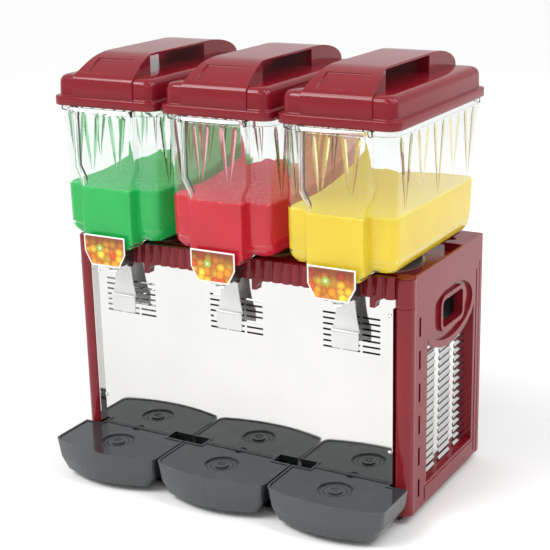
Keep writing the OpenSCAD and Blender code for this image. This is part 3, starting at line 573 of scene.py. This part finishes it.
def rib(bm, start, end, inward, across, width, height):
    """Long ridge with a triangular section that dies away towards its end."""
    a, b = Vector(start), Vector(end)
    rings = []
    for t, scale in ((0, 0.5), (0.08, 1), (0.6, 0.75), (1, 0.06)):
        p = a.lerp(b, t)
        rings.append([tuple(p - across * width * scale), tuple(p + inward * height * scale),
                      tuple(p + across * width * scale)])
    loft(bm, rings)


def bowl_ribs(side):
    """Slanting ribs in pairs that meet low down, on both side walls and the nose."""
    lo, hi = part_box(f"{side}_bowl")
    cx = (lo.x + hi.x) / 2
    top, low = hi.z - 12 * MM, DRINK_LEVEL + 6 * MM
    bm = bmesh.new()
    for sign in (-1, 1):
        x_top, x_low = cx + sign * 86.9 * MM, cx + sign * 86.0 * MM
        for k in range(5):
            foot = lo.y + (52 + 58 * k) * MM
            for lean in (-16, 17):
                rib(bm, (x_top, foot + lean * MM, top),
                    (x_low, foot + 0.1 * lean * MM, low + (k % 2) * 14 * MM),
                    Vector((-sign, 0, 0)), Vector((0, 1, 0)), 5.2 * MM, 2.2 * MM)
        for lean in (-10, 14):
            foot = cx + sign * 24 * MM
            rib(bm, (foot + lean * MM, lo.y + 6.3 * MM, top),
                (foot + 0.2 * lean * MM, lo.y + 6.6 * MM, low + 22 * MM),
                Vector((0, 1, 0)), Vector((1, 0, 0)), 4.2 * MM, 1.9 * MM)
    finish_mesh(f"{side}_bowl_ribs", bm, RIB_MATERIALS[side], f"{side}_bowl_unit")


def rib_plastic(side):
    """Clear plastic with a film of drink on it."""
    mat = clear_plastic()
    mat.name = f"{side}_rib_plastic"
    shader = mat.node_tree.nodes["Principled BSDF"]
    shader.inputs["Base Color"].default_value = (*(0.34 + 0.60 * c for c in DRINKS[side]), 1)
    return mat


RIB_MATERIALS = {side: rib_plastic(side) for side in SIDES}
for side in SIDES:
    bowl_ribs(side)


# ---------- Painted shade under the louvres ------

LOUVRE_COLUMNS = (12.5, 74.5, 135.5)
LOUVRE_ROWS = 20
LOUVRE_PITCH = 12.4
LOUVRE_FIRST = 43
GRIP_CENTRE = (64.5, 300)
GRIP_REACH = (92, 62)


def behind_grip(y, z):
    """True where the carry grip's dish, or the frame above it, covers the sheet."""
    across, up = (y - GRIP_CENTRE[0]) / GRIP_REACH[0], (z - GRIP_CENTRE[1]) / GRIP_REACH[1]
    return across ** 2 + up ** 2 < 1 or z > 246 and abs(across) < 1


def louvre_painted_shade(side, sign):
    """Painted shade: black strips on the sheet below each louvre and at its two ends, standing in for the
    dark openings.
    """
    lo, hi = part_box(f"{side}_louvre_sheet")
    face = (hi.x if sign > 0 else -lo.x) - 2.7 * MM
    slot, end_w, end_y = 21, 1.8, 22.2
    bm = bmesh.new()

    def patch(y0, y1, z0, z1, out):
        corners = ((y0, z0), (y1, z0), (y1, z1), (y0, z1))
        loft(bm, [[(sign * (face + step * MM), y * MM, z * MM) for y, z in corners] for step in (0.0, out)])

    for column in LOUVRE_COLUMNS:
        for row in range(LOUVRE_ROWS):
            z = LOUVRE_FIRST + LOUVRE_PITCH * row
            if behind_grip(column, z):
                continue
            # Painted shade: a black strip below the louvre, then one at each of its ends
            patch(column - slot, column + slot, z - 2.4, z + 2.9, 0.12)
            for end in (-end_y, end_y):
                patch(column + end - end_w, column + end + end_w, z + 0.5, z + 6.5, 0.14)
    finish_mesh(f"{side}_louvre_painted_shade", bm, MATERIALS["black_enamel"], "cabinet")


louvre_painted_shade("left", -1)
louvre_painted_shade("right", 1)


# ---------- Label cards ----------

FRUIT = fruit_print()
KIWI = moulded("kiwi_print", (0.30, 0.46, 0.06), (0.3, 0.5, 0.1), rough=0.35)
KIWI_CENTRE = moulded("kiwi_centre_print", (0.75, 0.82, 0.45), (0.8, 0.85, 0.5), rough=0.35)


def card_points(lo, hi, shrink):
    cx = (lo.x + hi.x) / 2
    half, foot = (hi.x - lo.x) / 2 - shrink, 27 * MM - shrink * 0.6
    waist = lo.z + 22.5 * MM
    return [(cx - half, hi.z - shrink), (cx - half, waist), (cx - foot, lo.z + shrink),
            (cx + foot, lo.z + shrink), (cx + half, waist), (cx + half, hi.z - shrink)]


def disc(bm, cx, cz, y, radius, thick, steps=24):
    rings = []
    for depth, r in ((thick, radius), (0, radius * 0.97)):
        rings.append([(cx + r * math.cos(2 * math.pi * i / steps), y + depth,
                       cz + r * math.sin(2 * math.pi * i / steps)) for i in range(steps)])
    loft(bm, rings)


def label_card(side):
    lo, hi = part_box(f"{side}_label_card")
    body = f"{side}_bowl_unit"
    cx = (lo.x + hi.x) / 2
    bm = bmesh.new()
    loft(bm, [[(x, y, z) for x, z in card_points(lo, hi, 0)] for y in (lo.y + 0.25 * MM, hi.y)])
    border = finish_mesh(f"{side}_card_border", bm, MATERIALS["label_print"], body)
    bevel(border, 0.25 * MM, 2)
    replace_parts(border, f"{side}_label_card")
    bm = bmesh.new()
    picture = card_points(lo, hi, 2.4 * MM)
    loft(bm, [[(x, y, z) for x, z in picture] for y in (lo.y + 0.12 * MM, hi.y - 0.5 * MM)])
    finish_mesh(f"{side}_card_picture", bm, FRUIT, body)
    for name, radius, y, mat in (("kiwi", 6.6, 0.08, KIWI), ("kiwi_heart", 2.6, 0.02, KIWI_CENTRE)):
        bm = bmesh.new()
        disc(bm, cx - 9 * MM, lo.z + 29 * MM, lo.y + y * MM, radius * MM, 0.3 * MM)
        finish_mesh(f"{side}_card_{name}", bm, mat, body)


for side in SIDES:
    label_card(side)


# ---------- Floor, light and camera ----------

def floor():
    bm = bmesh.new()
    half = 60.0
    corners = ((-half, -half, 0), (half, -half, 0), (half, half, 0), (-half, half, 0))
    bm.faces.new([bm.verts.new(p) for p in corners])
    mat, tree, shader = nodes_of("pale_floor")
    vector = coords(tree)
    patches = spread(tree, noise(tree, vector, 3.0), 0, 0.3)
    tint = blend_colours(tree, patches, (0.93, 0.93, 0.93), (0.90, 0.90, 0.90))
    link(tree, tint, shader.inputs["Base Color"])
    shader.inputs["Roughness"].default_value = 0.7
    obj = finish_mesh("floor", bm, mat, None)


def area_light(name, place, target, size, power):
    data = bpy.data.lights.new(name, "AREA")
    data.shape = "RECTANGLE"
    data.size, data.size_y = size
    data.energy = power
    obj = bpy.data.objects.new(name, data)
    obj.location = place
    obj.rotation_euler = (Vector(target) - Vector(place)).to_track_quat("-Z", "Y").to_euler()
    bpy.context.scene.collection.objects.link(obj)


def sun_light(place, power, softness):
    data = bpy.data.lights.new("sky", "SUN")
    data.energy = power
    data.angle = math.radians(softness)
    obj = bpy.data.objects.new("sky", data)
    obj.rotation_euler = (-Vector(place)).to_track_quat("-Z", "Y").to_euler()
    bpy.context.scene.collection.objects.link(obj)


def camera():
    """Stands off the right front corner and looks down at the machine."""
    place = Vector((1.03949, -1.76798, 0.96424))
    azimuth, down, roll = (math.radians(a) for a in (29.94, 17.12, -1.32))
    forward = Vector((-math.sin(azimuth) * math.cos(down), math.cos(azimuth) * math.cos(down),
                      -math.sin(down)))
    right = Vector((math.cos(azimuth), math.sin(azimuth), 0))
    up = right.cross(forward)
    cam_x = right * math.cos(roll) + up * math.sin(roll)
    cam_y = up * math.cos(roll) - right * math.sin(roll)
    data = bpy.data.cameras.new("camera")
    data.lens = 87.48
    data.sensor_width = 36
    obj = bpy.data.objects.new("camera", data)
    matrix = Matrix((cam_x, cam_y, -forward)).transposed().to_4x4()
    matrix.translation = place
    obj.matrix_world = matrix
    bpy.context.scene.collection.objects.link(obj)
    bpy.context.scene.camera = obj


def world():
    data = bpy.data.worlds.new("studio")
    data.use_nodes = True
    background = data.node_tree.nodes["Background"]
    background.inputs["Color"].default_value = (1, 1, 1, 1)
    background.inputs["Strength"].default_value = 0.70
    bpy.context.scene.world = data


floor()
sun_light((-1.0, -1.3, 1.9), 1.5, 34)
area_light("key", (-1.6, -1.9, 2.6), (0, 0, 0.35), (1.2, 0.9), 14)
area_light("rim", (1.9, 0.9, 2.2), (0, 0, 0.5), (0.5, 1.6), 16)
area_light("strip", (1.5, -0.2, 2.4), (0.2, 0, 0.6), (0.12, 2.4), 16)
area_light("front_strip", (-0.2, -1.6, 1.7), (0, 0, 0.6), (2.2, 0.10), 7)
camera()
world()
# Keeps the strong colours of the drinks, which the default transform washes out
bpy.context.scene.view_settings.view_transform = "Standard"
